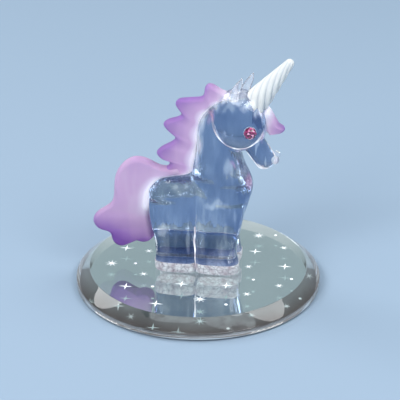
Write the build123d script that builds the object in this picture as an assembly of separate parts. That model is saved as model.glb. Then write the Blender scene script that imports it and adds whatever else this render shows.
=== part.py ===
from build123d import *
import math
import os

# Hot-worked solid glass unicorn on a round bevelled mirror, in millimetres.
# The unicorn faces +X and its middle plane is Y = 0. The origin is the bottom centre of the base.

# Mirror base: a round blank with a ground bevel, silvered, painted and felted below.
base_diameter = 76.2
glass_thickness = 5.0
bevel_width = 4.2
bevel_depth = 3.1
silver_thickness = 0.1
paint_thickness = 0.1
felt_thickness = 0.5
felt_inset = 0.8

# White stars printed on the mirror, with counts for the points of each kind.
print_thickness = 0.05
cross_points = 4
cross_radius = 2.1
cross_waist = 0.34
small_star_points = 6
small_star_radius = 1.4
small_star_waist = 0.3
large_star_points = 8
large_star_radius = 2.1
large_star_waist = 0.42
dot_radius = 0.5
dot_sides = 8

# Legs: stout columns, the front and rear leg of a side pressed together at the seam plane X = 0.
cement_thickness = 0.15
leg_height = 16.15
front_reach = 13.4
rear_reach = 12.7
stance_width = 16.2
inner_gap = 1.6
leg_corner = 3.0
seam_corner = 0.6

# Barrel, neck and head. The heights of neck and head are measured from the top of the barrel.
barrel_height = 13.8
body_length = 32.0
body_back = -15.1
chest_x = 16.9
chest_depth = 19.4
neck_sink = 9.8
neck_height = 33.0
neck_width = 13.6
withers_x = -2.4
withers_rise = 0.2
chest_weld_drop = 5.8
head_length = 19.4
head_width = 12.8
head_x = 12.86
head_rise = 18.8

# Muzzle: a round-ended stub that leans from the head, with a bead for each nostril.
muzzle_length = 7.5
muzzle_lean = 148.5
muzzle_root_radius = 3.8
muzzle_tip_radius = 3.15
nostril_radius = 1.25
nostril_spacing = 4.2
nostril_lean = 80.0

# Ears: the right one sits a little behind the left one, as on the photographed piece.
ear_length = 6.9
ear_width = 3.4
ear_thickness = 2.2
ear_spacing = 5.0

# Horn: a fluted cone, twisted along its axis, with a rounded tip.
horn_length = 17.6
horn_root_radius = 4.2
horn_tip_radius = 1.45
horn_lean = 37.6
horn_flutes = 8
horn_twist = 212.0

# Mane, tail and forelock: flat frosted pieces with rounded rims, upright on the middle plane. The mane
# starts a little below the top of the barrel, and the tail rises above it.
mane_length = 25.0
mane_height = 31.0
mane_thickness = 4.2
mane_x = -12.7
mane_sink = 0.9
tail_length = 26.0
tail_height = 31.0
tail_thickness = 5.0
tail_reach = 17.9
tail_rise = 5.3
forelock_length = 10.0
forelock_height = 10.0
forelock_thickness = 5.4

# Places on the head, as shares of half its length from its middle, forwards and upwards.
horn_root_share = 0.71
right_ear_shares = (-0.36, 0.74)
left_ear_shares = (-0.07, 0.74)
forelock_corner_shares = (0.34, -0.41)
eye_shares = (0.34, -0.15)

# Eyes: flat-back faceted stones, cemented to the sides of the head and tilted upwards.
stone_diameter = 3.9
stone_crown = 0.95
stone_girdle = 0.3
stone_sides = 16
table_share = 0.56
star_share = 0.72
foil_thickness = 0.12
eye_cement_depth = 1.0
eye_lift = 0.35
eye_tilt = 8.0

# Heights and places that follow from the sizes above.
silver_z = felt_thickness + paint_thickness
mirror_z = silver_z + silver_thickness
base_top = mirror_z + glass_thickness
hoof_z = base_top + cement_thickness
leg_top = hoof_z + leg_height
body_top = leg_top + barrel_height
head_z = body_top + head_rise
head_radius = head_length / 2
base_radius = base_diameter / 2
flat_radius = base_radius - bevel_width

# Counts for the free forms of the hot glass: corners round a section, and sections in a round end.
gather_sides = 32
lock_sides = 16
ball_steps = 14
stub_steps = 5
pole_share = 0.1


def disc(radius, thickness, z):
    return Pos(0, 0, z) * extrude(Circle(radius), thickness)


def oval(length, width, squareness=1, sides=gather_sides):
    """Corners of a level oval. A squareness below 1 fills it out to a rounded box."""
    corners = []
    for i in range(sides):
        turn = math.tau * i / sides
        along = math.copysign(abs(math.cos(turn)) ** squareness, math.cos(turn))
        across = math.copysign(abs(math.sin(turn)) ** squareness, math.sin(turn))
        corners.append(Vector(along * length / 2, across * width / 2, 0))
    return corners


def moved(ring, x, z):
    return [corner + Vector(x, 0, z) for corner in ring]


def skinned(rings):
    """A loft in flat facets: it joins each ring of corners to the next and closes the two end rings."""
    facets = [Face(Wire.make_polygon(ring)) for ring in (rings[0], rings[-1])]
    for lower, upper in zip(rings, rings[1:]):
        for i in range(len(lower)):
            facets.append(Face(Wire.make_polygon([lower[i - 1], lower[i], upper[i]])))
            facets.append(Face(Wire.make_polygon([lower[i - 1], upper[i], upper[i - 1]])))
    return Solid(Shell(facets))


def ball(length, width):
    """A ball round the origin, as long as it is high."""
    rings = []
    for i in range(ball_steps + 1):
        turn = math.pi * (i / ball_steps - 1 / 2)
        swell = max(math.cos(turn), pole_share)
        rings.append(moved(oval(length * swell, width * swell), 0, length / 2 * math.sin(turn)))
    return skinned(rings)


def round_stub(root_radius, tip_radius, run, sides=gather_sides):
    """A stub on the Z axis: a cone as long as the run, then a round end."""
    rings = [oval(2 * root_radius, 2 * root_radius, sides=sides)]
    for i in range(stub_steps + 1):
        turn = math.pi / 2 * i / stub_steps
        swell = 2 * tip_radius * max(math.cos(turn), pole_share)
        rings.append(moved(oval(swell, swell, sides=sides), 0, run + tip_radius * math.sin(turn)))
    return skinned(rings)


# Base.
felt_pad = disc(base_radius - felt_inset, felt_thickness, 0)
backing_paint = disc(base_radius, paint_thickness, felt_thickness)
silvering = disc(base_radius, silver_thickness, silver_z)

with BuildSketch(Plane.XZ) as mirror_profile:
    with BuildLine():
        Polyline(
            (0, mirror_z),
            (base_radius, mirror_z),
            (base_radius, base_top - bevel_depth),
            (flat_radius, base_top),
            (0, base_top),
            close=True,
        )
    make_face()
mirror_glass = revolve(mirror_profile.sketch, Axis.Z)

# Star pattern: places as shares of the radius of the mirror's flat, chosen by eye.
cross_shares = [
    (-0.71, 0.19),
    (-0.58, -0.54),
    (-0.26, -0.81),
    (-0.09, -0.43),
    (0.31, -0.4),
    (0.5, 0.29),
    (0.8, 0.03),
    (-0.15, 0.55),
    (0.2, 0.82),
]
small_star_shares = [
    (-0.46, -0.29),
    (-0.49, 0.16),
    (0.47, -0.02),
    (0.76, 0.4),
    (0.78, -0.34),
    (0.51, -0.53),
    (0.18, 0.5),
    (-0.52, 0.7),
]
large_star_shares = [(-0.79, -0.13), (0.11, -0.68), (0.5, 0.62), (-0.3, 0.83)]
dot_shares = [
    (-0.57, -0.1),
    (-0.34, -0.51),
    (-0.69, 0.42),
    (0.35, -0.74),
    (0.66, 0.65),
    (0.54, -0.26),
    (0.88, -0.2),
    (-0.35, 0.42),
    (0.03, 0.7),
    (-0.05, 0.9),
]


def star(points, radius, waist):
    corners = []
    for i in range(2 * points):
        reach = radius if i % 2 == 0 else waist
        turn = math.pi * i / points
        corners.append((reach * math.cos(turn), reach * math.sin(turn)))
    return make_face(Polyline(*corners, close=True))


def printed(shape, shares):
    places = [(x * flat_radius, y * flat_radius) for x, y in shares]
    return Compound(children=[Pos(x, y, base_top) * extrude(shape, print_thickness) for x, y in places])


four_point_stars = printed(star(cross_points, cross_radius, cross_waist), cross_shares)
six_point_stars = printed(star(small_star_points, small_star_radius, small_star_waist), small_star_shares)
eight_point_stars = printed(star(large_star_points, large_star_radius, large_star_waist), large_star_shares)
printed_dots = printed(RegularPolygon(dot_radius, dot_sides), dot_shares)

# Legs. Each row of shares is a height, a reach from the seam and a width.
leg_width = (stance_width - inner_gap) / 2
front_leg_shares = [(0, 0.93, 0.93), (0.12, 1, 1), (0.4, 0.94, 0.97), (0.75, 0.97, 0.98), (1, 1.05, 1)]
rear_leg_shares = [(0, 0.93, 0.93), (0.12, 1, 1), (0.4, 0.99, 0.97), (0.75, 1.04, 0.98), (1, 1.11, 1)]


def leg_section(height, reach, width, front):
    full = front_reach if front else rear_reach
    outline = Rectangle(reach * full, width * leg_width, align=(Align.MIN, Align.MAX))
    outline = fillet(outline.vertices().group_by(Axis.X)[-1], leg_corner * width)
    outline = chamfer(outline.vertices().group_by(Axis.X)[0], seam_corner * width)
    section = Pos(0, -inner_gap / 2, hoof_z + height * leg_height) * outline
    return section if front else mirror(section, about=Plane.YZ)


def leg(front):
    rows = front_leg_shares if front else rear_leg_shares
    return loft([leg_section(*row, front) for row in rows], ruled=True)


front_right_leg = leg(True)
rear_right_leg = leg(False)
front_left_leg = mirror(front_right_leg, about=Plane.XZ)
rear_left_leg = mirror(rear_right_leg, about=Plane.XZ)

# Cement under each hoof, one pad for each leg.
pads = []
for front in (True, False):
    foot = leg_section(*front_leg_shares[0], front)
    pad = extrude(foot, -cement_thickness)
    pads.append(pad)
    pads.append(mirror(pad, about=Plane.XZ))
hoof_cement = Compound(children=pads)

# Barrel: level sections from the tops of the legs to the back. Each row of shares is a height, a back
# edge, a front edge, a width and a squareness.
barrel_shares = [
    (0, 0.03, 0.92, 1, 0.5),
    (0.25, 0.01, 0.95, 1, 0.53),
    (0.52, 0, 0.98, 0.98, 0.6),
    (0.74, 0.03, 1, 0.87, 0.7),
    (0.88, 0.1, 0.97, 0.68, 0.8),
    (0.96, 0.17, 0.92, 0.47, 0.9),
    (1, 0.28, 0.83, 0.24, 1),
]


def barrel_ring(height, back, front, width, squareness):
    outline = oval(body_length * (front - back), stance_width * width, squareness)
    return moved(outline, body_back + body_length * (back + front) / 2, leg_top + height * barrel_height)


# The barrel and the neck are welded at a plane that slopes from the withers down to the chest.
slope = Vector(chest_x - withers_x, 0, -chest_weld_drop - withers_rise).normalized()
weld = Plane(origin=(withers_x, 0, body_top + withers_rise), x_dir=slope, z_dir=(-slope.Z, 0, slope.X))
body = split(skinned([barrel_ring(*row) for row in barrel_shares]), weld, Keep.BOTTOM)

# Neck. Each row of shares is a height, the front edge, the depth and the width.
neck_foot = body_top - neck_sink
neck_shares = [
    (0, 0.93, 1.0, 1),
    (0.11, 0.97, 1.0, 1),
    (0.21, 1, 1, 1),
    (0.29, 0.97, 0.96, 0.98),
    (0.37, 0.92, 0.91, 0.94),
    (0.46, 0.85, 0.82, 0.87),
    (0.55, 0.79, 0.74, 0.8),
    (0.66, 0.71, 0.66, 0.73),
    (0.78, 0.65, 0.59, 0.68),
    (1, 0.64, 0.4, 0.52),
]


def neck_ring(height, front, depth, width):
    centre = chest_x * front - chest_depth * depth / 2
    return moved(oval(chest_depth * depth, neck_width * width), centre, neck_foot + height * neck_height)


neck = split(skinned([neck_ring(*row) for row in neck_shares]), weld, Keep.TOP)

# Head: a ball, flattened at the cheeks.
head_middle = Pos(head_x, 0, head_z)
head = head_middle * ball(head_length, head_width)
neck = neck - head

# Muzzle: its axis starts at the middle of the head.
muzzle_run = head_radius + muzzle_length - muzzle_tip_radius
muzzle_line = head_middle * Rot(0, muzzle_lean, 0)
muzzle = muzzle_line * round_stub(muzzle_root_radius, muzzle_tip_radius, muzzle_run)

# Muzzle and head meet at a flat weld, where the head is as wide as the muzzle's root.
weld_depth = head_radius * math.sqrt(1 - (2 * muzzle_root_radius / head_width) ** 2)
muzzle_weld = Plane(muzzle_line * Pos(0, 0, weld_depth))
muzzle = split(muzzle, muzzle_weld, Keep.TOP)
head = split(head, muzzle_weld, Keep.BOTTOM)

# Nostrils: round-ended beads that stand out of the muzzle's tip, rooted at a share of its radius.
nostril_root_share = 0.68
muzzle_tip = (muzzle_line * Pos(0, 0, muzzle_run)).position
bead = round_stub(nostril_radius, nostril_radius, nostril_radius, lock_sides)
bead = Rot(0, nostril_lean, 0) * Pos(0, 0, muzzle_tip_radius * nostril_root_share) * bead
right_nostril = Pos(muzzle_tip.X, -nostril_spacing / 2, muzzle_tip.Z) * bead - muzzle
left_nostril = mirror(right_nostril, about=Plane.XZ)

# Horn: round flutes meet in sharp valleys. Each section is a little smaller than the last and turned
# a little further. The counts are the corners of one flute and the sections along the horn.
flute_corners = 4
horn_steps = 12
valley_share = 0.86
crown_share = 0.5


def horn_ring(height, radius):
    ring = []
    for i in range(horn_flutes * flute_corners):
        bulge = math.sqrt(abs(math.sin(math.pi * i / flute_corners)))
        reach = radius * (valley_share + (1 - valley_share) * bulge)
        turn = math.tau * i / (horn_flutes * flute_corners) - math.radians(horn_twist) * height / horn_length
        ring.append(Vector(reach * math.cos(turn), reach * math.sin(turn), height))
    return ring


horn_rings = []
for i in range(horn_steps + 1):
    share = i / horn_steps
    radius = horn_root_radius + (horn_tip_radius - horn_root_radius) * share
    horn_rings.append(horn_ring(share * (horn_length - horn_tip_radius), radius))
horn_rings.append(horn_ring(horn_length, horn_tip_radius * crown_share))
horn = head_middle * Rot(0, horn_lean, 0) * Pos(0, 0, head_radius * horn_root_share) * skinned(horn_rings)
horn = horn - head

# Locks of frosted glass: level sections, each with a height, a back edge, a front edge and a thickness,
# as shares of the lock's sizes. They are fuller than an ellipse by the squareness.
lock_squareness = 0.62


def lock(shares, length, height, thickness, x, z):
    rings = []
    for level, back, front, swell in shares:
        ring = oval(length * (front - back), thickness * swell, lock_squareness, lock_sides)
        rings.append(moved(ring, x + length * (back + front) / 2, z + level * height))
    return skinned(rings)


mane_shares = [
    (0, 0.2, 0.7, 0.8),
    (0.1, 0.16, 0.78, 0.9),
    (0.16, 0.17, 0.8, 0.9),
    (0.19, 0.12, 0.8, 0.9),
    (0.22, 0.03, 0.82, 0.9),
    (0.25, 0, 0.84, 0.92),
    (0.29, 0.04, 0.84, 0.95),
    (0.34, 0.15, 0.84, 1),
    (0.41, 0.23, 0.8, 1),
    (0.47, 0.18, 0.8, 1),
    (0.51, 0.12, 0.8, 1),
    (0.56, 0.1, 0.84, 1),
    (0.6, 0.16, 0.84, 1),
    (0.67, 0.31, 0.84, 1),
    (0.76, 0.25, 0.9, 1),
    (0.8, 0.26, 0.96, 1),
    (0.83, 0.34, 1, 1),
    (0.86, 0.54, 1.04, 0.95),
    (0.92, 0.58, 0.94, 0.8),
    (0.97, 0.6, 0.74, 0.5),
    (0.99, 0.63, 0.67, 0.2),
]
mane = lock(mane_shares, mane_length, mane_height, mane_thickness, mane_x, body_top - mane_sink)
mane = mane - neck - body - head

# The tail is a trunk that splits into three lobes.
trunk_shares = [
    (0.3, 0.24, 0.74, 0.9),
    (0.45, 0.24, 0.78, 1),
    (0.6, 0.26, 0.8, 1),
    (0.76, 0.28, 0.86, 1),
    (0.88, 0.34, 0.96, 0.9),
    (0.96, 0.43, 0.72, 0.6),
    (0.99, 0.52, 0.6, 0.2),
]
outer_lobe_shares = [
    (0.17, 0.09, 0.2, 0.5),
    (0.22, 0.01, 0.32, 0.9),
    (0.3, 0, 0.4, 1),
    (0.36, 0.05, 0.44, 1),
    (0.43, 0.17, 0.5, 0.8),
    (0.53, 0.25, 0.5, 0.5),
]
middle_lobe_shares = [
    (0.01, 0.28, 0.37, 0.5),
    (0.05, 0.25, 0.41, 0.8),
    (0.14, 0.2, 0.48, 1),
    (0.3, 0.23, 0.5, 0.9),
    (0.5, 0.34, 0.5, 0.5),
]
inner_lobe_shares = [
    (0.07, 0.55, 0.63, 0.5),
    (0.11, 0.48, 0.7, 0.8),
    (0.2, 0.46, 0.75, 1),
    (0.35, 0.5, 0.72, 0.9),
    (0.55, 0.58, 0.7, 0.5),
]
tail_x = body_back - tail_reach
tail_z = body_top + tail_rise - tail_height
tail = lock(trunk_shares, tail_length, tail_height, tail_thickness, tail_x, tail_z)
for lobe_shares in (outer_lobe_shares, middle_lobe_shares, inner_lobe_shares):
    tail = tail + lock(lobe_shares, tail_length, tail_height, tail_thickness, tail_x, tail_z)
tail = tail - body - rear_right_leg - rear_left_leg - mane

forelock_shares = [
    (0.02, 0.2, 0.7, 0.6),
    (0.12, 0.1, 0.93, 0.9),
    (0.24, 0.1, 0.98, 0.9),
    (0.35, 0.1, 0.84, 1),
    (0.78, 0.1, 0.6, 1),
]
forelock_x = head_x + head_radius * forelock_corner_shares[0]
forelock_z = head_z + head_radius * forelock_corner_shares[1]
forelock = lock(
    forelock_shares, forelock_length, forelock_height, forelock_thickness, forelock_x, forelock_z
)
forelock = forelock - head - horn

# Ears: curved points that lean forwards.
ear_shares = [
    (0, 0, 0.8, 1),
    (0.25, 0.06, 0.9, 0.97),
    (0.46, 0.2, 1.03, 0.9),
    (0.62, 0.43, 1.13, 0.77),
    (0.75, 0.68, 1.2, 0.6),
    (0.9, 0.91, 1.18, 0.36),
    (1, 1.02, 1.12, 0.15),
]


def ear(root_shares, y):
    x = head_x + head_radius * root_shares[0]
    z = head_z + head_radius * root_shares[1]
    return Pos(0, y, 0) * lock(ear_shares, ear_width, ear_length, ear_thickness, x, z)


right_ear = ear(right_ear_shares, -ear_spacing / 2) - head - mane
left_ear = ear(left_ear_shares, ear_spacing / 2) - head - horn

# Eyes: the stone's back stands off the head by the lift, and cement fills the space below it.
eye_side = -math.sqrt(1 - eye_shares[0] ** 2 - eye_shares[1] ** 2)
eye_x = head_x + head_radius * eye_shares[0]
eye_y = head_width / 2 * eye_side
eye_z = head_z + head_radius * eye_shares[1]
eye_normal = Vector(eye_shares[0] / head_radius, 2 * eye_side / head_width, eye_shares[1] / head_radius)
eye_plane = Plane(origin=(eye_x, eye_y, eye_z), x_dir=(1, 0, 0), z_dir=eye_normal)
stone_radius = stone_diameter / 2
stone_seat = eye_plane * Pos(0, 0, eye_lift) * Rot(-eye_tilt, 0, 0)


# The stone is a many-sided blank whose crown is cut by two rings of facet planes.
stone_face = RegularPolygon(stone_radius, stone_sides, rotation=180 / stone_sides)
stone = extrude(stone_face, stone_girdle + stone_crown)
stone_flat = stone_radius * math.cos(math.pi / stone_sides)
for i in range(stone_sides):
    turn = math.tau * i / stone_sides
    inset = stone_flat * (1 - table_share) if i % 2 == 0 else stone_flat * (1 - star_share)
    facet = Plane(
        origin=(stone_flat * math.cos(turn), stone_flat * math.sin(turn), stone_girdle),
        x_dir=(-math.sin(turn), math.cos(turn), 0),
        z_dir=(stone_crown * math.cos(turn), stone_crown * math.sin(turn), inset),
    )
    stone = split(stone, facet, Keep.BOTTOM)
right_eye_foil = stone_seat * extrude(stone_face, foil_thickness)
right_eye_crystal = stone_seat * Pos(0, 0, foil_thickness) * stone
right_eye_cement = stone_seat * extrude(stone_face, -eye_cement_depth) - head
left_eye_foil = mirror(right_eye_foil, about=Plane.XZ)
left_eye_crystal = mirror(right_eye_crystal, about=Plane.XZ)
left_eye_cement = mirror(right_eye_cement, about=Plane.XZ)

nodes = {
    "felt_pad": felt_pad,
    "backing_paint": backing_paint,
    "silvering": silvering,
    "mirror_glass": mirror_glass,
    "four_point_stars": four_point_stars,
    "six_point_stars": six_point_stars,
    "eight_point_stars": eight_point_stars,
    "printed_dots": printed_dots,
    "hoof_cement": hoof_cement,
    "body": body,
    "front_left_leg": front_left_leg,
    "front_right_leg": front_right_leg,
    "rear_left_leg": rear_left_leg,
    "rear_right_leg": rear_right_leg,
    "neck": neck,
    "head": head,
    "muzzle": muzzle,
    "left_nostril": left_nostril,
    "right_nostril": right_nostril,
    "horn": horn,
    "mane": mane,
    "tail": tail,
    "forelock": forelock,
    "left_ear": left_ear,
    "right_ear": right_ear,
    "left_eye_foil": left_eye_foil,
    "right_eye_foil": right_eye_foil,
    "left_eye_crystal": left_eye_crystal,
    "right_eye_crystal": right_eye_crystal,
    "left_eye_cement": left_eye_cement,
    "right_eye_cement": right_eye_cement,
}

os.makedirs("parts", exist_ok=True)
for name, shape in nodes.items():
    export_step(shape, f"parts/{name}.step")
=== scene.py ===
# %% [markdown]
# # A hot-worked glass unicorn on a bevelled mirror
#
# The real figurine is made at a torch. Gathers of hot clear glass are pressed into a body, four legs,
# a neck and a head, and melted together where they touch. The mane, tail, forelock and horn are glass
# too, dipped in acid so that they turn to frost. Two pink flat-back stones are the eyes, and the whole
# thing is cemented to a round mirror with a ground bevel and a printed pattern of stars.
#
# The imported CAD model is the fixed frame. Every new piece below is worked out from its boxes.

# %% Load the frame
import math

import bpy
import numpy as np
from mathutils import Matrix, Vector


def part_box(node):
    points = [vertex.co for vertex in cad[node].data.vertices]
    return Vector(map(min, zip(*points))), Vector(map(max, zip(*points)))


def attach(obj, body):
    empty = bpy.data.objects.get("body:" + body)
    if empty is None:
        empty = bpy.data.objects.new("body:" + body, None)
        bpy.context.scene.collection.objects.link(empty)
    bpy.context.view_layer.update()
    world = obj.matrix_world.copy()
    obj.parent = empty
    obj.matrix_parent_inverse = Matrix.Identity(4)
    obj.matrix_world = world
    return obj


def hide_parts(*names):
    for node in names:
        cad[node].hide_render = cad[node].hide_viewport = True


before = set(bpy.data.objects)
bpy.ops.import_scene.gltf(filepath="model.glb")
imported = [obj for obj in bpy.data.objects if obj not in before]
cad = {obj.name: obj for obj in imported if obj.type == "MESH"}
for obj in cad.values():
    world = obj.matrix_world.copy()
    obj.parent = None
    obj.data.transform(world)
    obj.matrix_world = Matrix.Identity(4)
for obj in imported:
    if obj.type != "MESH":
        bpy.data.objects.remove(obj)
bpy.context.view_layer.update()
MM = 0.001
BOTH = ("left", "right")

# %% [markdown]
# ## Places come from the CAD nodes
#
# A piece that stands for a node has to stay where the node is. So each piece starts from the box of its
# node: a place is the box's low corner plus a share of its size. Shares keep working if the CAD changes.


# %% Box and grid helpers
def box_of(node):
    """The lowest corner and the size of the box round a CAD node, as arrays in metres."""
    low, high = np.array([tuple(corner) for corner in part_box(node)])
    return low, high - low


def full_turn(count):
    """The angles of one turn, as one row."""
    return np.linspace(0, 2 * np.pi, count, endpoint=False)[None, :]


def grid(x, y, z):
    """Points from three arrays of coordinates, each repeated where the others are larger."""
    return np.stack(np.broadcast_arrays(x, y, z), axis=-1)


# %% [markdown]
# ## Smooth rows
#
# A glassworker's shapes have no corners. Each gather is described by a few rows of given numbers,
# and a natural cubic runs smoothly through them, so the surface between two rows is curved like the
# real one. The cubic's second derivatives come from one small system of linear equations.


# %% Natural cubic
def smooth_rows(keys, rows, at):
    """Rows at the places `at`, on the natural cubic through `rows` at `keys`.

    On each stretch the value is the straight blend of its two ends, plus a bend: for each end, the
    cube of the distance share minus the share, times that end's second derivative.
    """
    keys, rows, at = np.asarray(keys, float), np.asarray(rows, float), np.asarray(at, float)
    gap = np.diff(keys)
    size = len(keys)
    system = np.eye(size)
    right = np.zeros_like(rows)
    inner = np.arange(1, size - 1)
    system[inner, inner - 1] = gap[:-1]
    system[inner, inner] = 2 * (gap[:-1] + gap[1:])
    system[inner, inner + 1] = gap[1:]
    slope = np.diff(rows, axis=0) / gap[:, None]
    right[1:-1] = 6 * np.diff(slope, axis=0)
    bend = np.linalg.solve(system, right)
    k = np.clip(np.searchsorted(keys, at, side="right") - 1, 0, size - 2)
    step = gap[k][:, None]
    b = (at - keys[k])[:, None] / step
    a = 1 - b
    return a * rows[k] + b * rows[k + 1] + ((a**3 - a) * bend[k] + (b**3 - b) * bend[k + 1]) * step**2 / 6


# %% [markdown]
# ## From rings to a closed skin
#
# Glass only looks right when its surface is closed, because light has to enter and leave it. A skin
# joins each ring of points to the next with four-sided faces, and closes both ends with a fan to the
# middle of the end ring. A sum over the faces tells whether they look outwards.


# %% Skin and piece helpers
def skin(rings):
    """Points and faces of the closed surface over `rings`, an array of rows, columns and 3 coordinates."""
    rows, columns = rings.shape[:2]
    i = np.arange(rows - 1)[:, None] * columns
    j = np.arange(columns)[None, :]
    k = (j + 1) % columns
    quads = np.stack([i + j, i + k, i + columns + k, i + columns + j], axis=-1).reshape(-1, 4)
    points = np.vstack([rings.reshape(-1, 3), rings[[0, -1]].mean(axis=1)])
    start, top = rows * columns, (rows - 1) * columns
    first = np.stack([np.full(columns, start), k[0], j[0]], axis=-1)
    last = np.stack([np.full(columns, start + 1), top + j[0], top + k[0]], axis=-1)
    corners = points[quads]
    across = np.cross(corners[:, 2] - corners[:, 0], corners[:, 3] - corners[:, 1])
    if (across * (corners.mean(axis=1) - points.mean(axis=0))).sum() < 0:
        quads, first, last = quads[:, ::-1], first[:, ::-1], last[:, ::-1]
    return points, quads.tolist() + first.tolist() + last.tolist()


def with_ends(values):
    """Values for every point of a skin: those of the rings, then the means of the two end rings."""
    return np.concatenate([values.ravel(), [values[0].mean(), values[-1].mean()]])


def new_object(name, data):
    """A new object in the scene."""
    made = bpy.data.objects.new(name, data)
    bpy.context.scene.collection.objects.link(made)
    return made


def make_piece(name, skins, stands_for, marks=None, facet_marks=None):
    """One mesh object from closed skins, riding on the root body in place of its CAD nodes.

    `marks` are named values for the points, and `facet_marks` for the flat faces of a cut stone.
    """
    points, faces, base = [], [], 0
    for skin_points, skin_faces in skins:
        points.append(skin_points)
        faces += [[base + corner for corner in face] for face in skin_faces]
        base += len(skin_points)
    mesh = bpy.data.meshes.new(name)
    mesh.from_pydata(np.vstack(points), [], faces)
    for domain, named in (("POINT", marks), ("FACE", facet_marks)):
        for mark, values in (named or {}).items():
            layer = mesh.attributes.new(mark, "FLOAT", domain)
            layer.data.foreach_set("value", np.asarray(values, np.float32))
    mesh.polygons.foreach_set("use_smooth", np.full(len(faces), facet_marks is None))
    piece = new_object(name, mesh)
    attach(piece, "root")
    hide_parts(*stands_for)
    print(name, len(points), "skins,", len(faces), "faces")
    return piece


# %% [markdown]
# ## Sections of a pressed gather
#
# Hot glass that is pressed with paddles gets a section between an ellipse and a rounded box. A
# superellipse covers that range with one number, its fullness: 2 is an ellipse, 4 a rounded box. A
# column stacks such sections, with their back, front and width read from smooth rows.

# %% Section and column helpers
SIDES = 96
GATHER_ROWS = 60
turns = full_turn(SIDES)


def section(around, half_length, half_width, fullness):
    """A level superellipse: each of cosine and sine keeps its sign and is raised to 2 over the fullness."""
    power = 2 / fullness
    x = np.sign(np.cos(around)) * np.abs(np.cos(around)) ** power
    y = np.sign(np.sin(around)) * np.abs(np.sin(around)) ** power
    return half_length * x, half_width * y


def column(node, rows, count=GATHER_ROWS, around=turns):
    """Rings of level sections up a CAD node.

    A row is a height, a back edge, a front edge and a width, as shares of the node's box, and a fullness.
    """
    low, size = box_of(node)
    rows = np.array(rows)
    heights = np.linspace(rows[0, 0], rows[-1, 0], count)
    back, front, width, fullness = smooth_rows(rows[:, 0], rows[:, 1:], heights).T[:, :, None]
    x, y = section(around, (front - back) * size[0] / 2, width * size[1] / 2, fullness)
    x = x + low[0] + (front + back) * size[0] / 2
    return grid(x, y + low[1] + size[1] / 2, low[2] + heights[:, None] * size[2])


# %% [markdown]
# ## Legs
#
# Each leg is a stout column. The front and rear leg of a side are pressed together, which leaves one
# upright groove that catches the light. The hoof end is rounded where the hot glass was set down. The
# photograph shows the near pair, and the far pair is its mirror image.

# %% Leg skins
# Each row is a height, a reach from the groove, and a width, as shares of the CAD leg.
front_rows = np.array([
    (0, 0.82, 0.86), (0.03, 0.86, 0.91), (0.09, 0.93, 0.97), (0.2, 0.94, 1),
    (0.4, 0.895, 0.97), (0.75, 0.93, 0.98), (1, 1, 1), (1.45, 1.05, 0.97),
])
rear_rows = np.array([
    (0, 0.78, 0.86), (0.03, 0.82, 0.91), (0.09, 0.89, 0.97), (0.2, 0.9, 1),
    (0.4, 0.89, 0.97), (0.75, 0.94, 0.98), (1, 1, 1), (1.45, 1.03, 0.97),
])
LEGS = {
    "front_right_leg": front_rows, "front_left_leg": front_rows,
    "rear_right_leg": rear_rows, "rear_left_leg": rear_rows,
}
OUTER_FULLNESS = 3.0
GROOVE_FULLNESS = 4.2


def upright_skin(node, reach, width, heights, grow=0.0):
    """A skin over level sections of a leg at some heights, with `grow` added to their half sizes.

    Reach and width are shares of the CAD leg. The side at the groove is fuller than the others.
    """
    low, size = box_of(node)
    forward = 1 if low[0] + size[0] / 2 > 0 else -1
    fullness = np.where(np.cos(turns) * forward < 0, GROOVE_FULLNESS, OUTER_FULLNESS)
    half_reach = reach * size[0] / 2
    x, y = section(turns, half_reach + grow, width * size[1] / 2 + grow, fullness)
    return skin(grid(x + forward * half_reach, y + low[1] + size[1] / 2, heights[:, None]))


def leg_skin(node, rows):
    """Sections from the hoof up into the barrel."""
    low, size = box_of(node)
    shares = np.linspace(0, rows[-1, 0], GATHER_ROWS)
    reach, width = smooth_rows(rows[:, 0], rows[:, 1:], shares).T[:, :, None]
    return upright_skin(node, reach, width, low[2] + shares * size[2])


legs = [leg_skin(node, rows) for node, rows in LEGS.items()]
print("Leg skins:", len(legs))

# %% [markdown]
# ## Barrel and neck
#
# The barrel is a pressed block with a domed back. The groove between the legs runs on up its side and
# fades out. The neck grows out of it as a leaning column that gets narrower towards the head.

# %% Barrel and neck skins
GROOVE_DEPTH = 1.1 * MM
GROOVE_WIDTH = 1.3 * MM
GROOVE_TOP = 0.75
rings = column("body", [
    (-0.25, 0.05, 0.88, 0.96, 3.6), (0, 0.03, 0.915, 0.99, 3.6), (0.25, 0.012, 0.95, 1, 3.4),
    (0.52, 0, 0.985, 0.985, 3), (0.74, 0.022, 0.99, 0.9, 2.6), (0.88, 0.08, 0.95, 0.72, 2.4),
    (0.96, 0.16, 0.87, 0.48, 2.2), (1, 0.3, 0.75, 0.2, 2),
])
body_low, body_size = box_of("body")
x, y, z = np.moveaxis(rings, -1, 0)
fade = np.clip(1 - (z - body_low[2]) / body_size[2] / GROOVE_TOP, 0, 1)
rings[..., 1] = y - np.sign(y) * GROOVE_DEPTH * fade * np.exp(-((x / GROOVE_WIDTH) ** 2))
barrel = skin(rings)

neck = skin(column("neck", [
    (-0.13, -0.02, 0.89, 1.1, 3), (0, -0.015, 0.965, 1.13, 2.8), (0.1, 0, 0.998, 1.07, 2.5),
    (0.2, 0.015, 0.975, 0.98, 2.3), (0.29, 0.03, 0.92, 0.91, 2.2), (0.38, 0.053, 0.86, 0.85, 2.1),
    (0.49, 0.069, 0.81, 0.79, 2.1), (0.62, 0.084, 0.744, 0.72, 2.1), (0.76, 0.105, 0.696, 0.68, 2.1),
    (0.9, 0.19, 0.686, 0.61, 2.1), (0.98, 0.31, 0.682, 0.53, 2.1), (1.05, 0.45, 0.675, 0.42, 2.1),
]))
print("Barrel points:", len(barrel[0]), "and neck points:", len(neck[0]))

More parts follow.
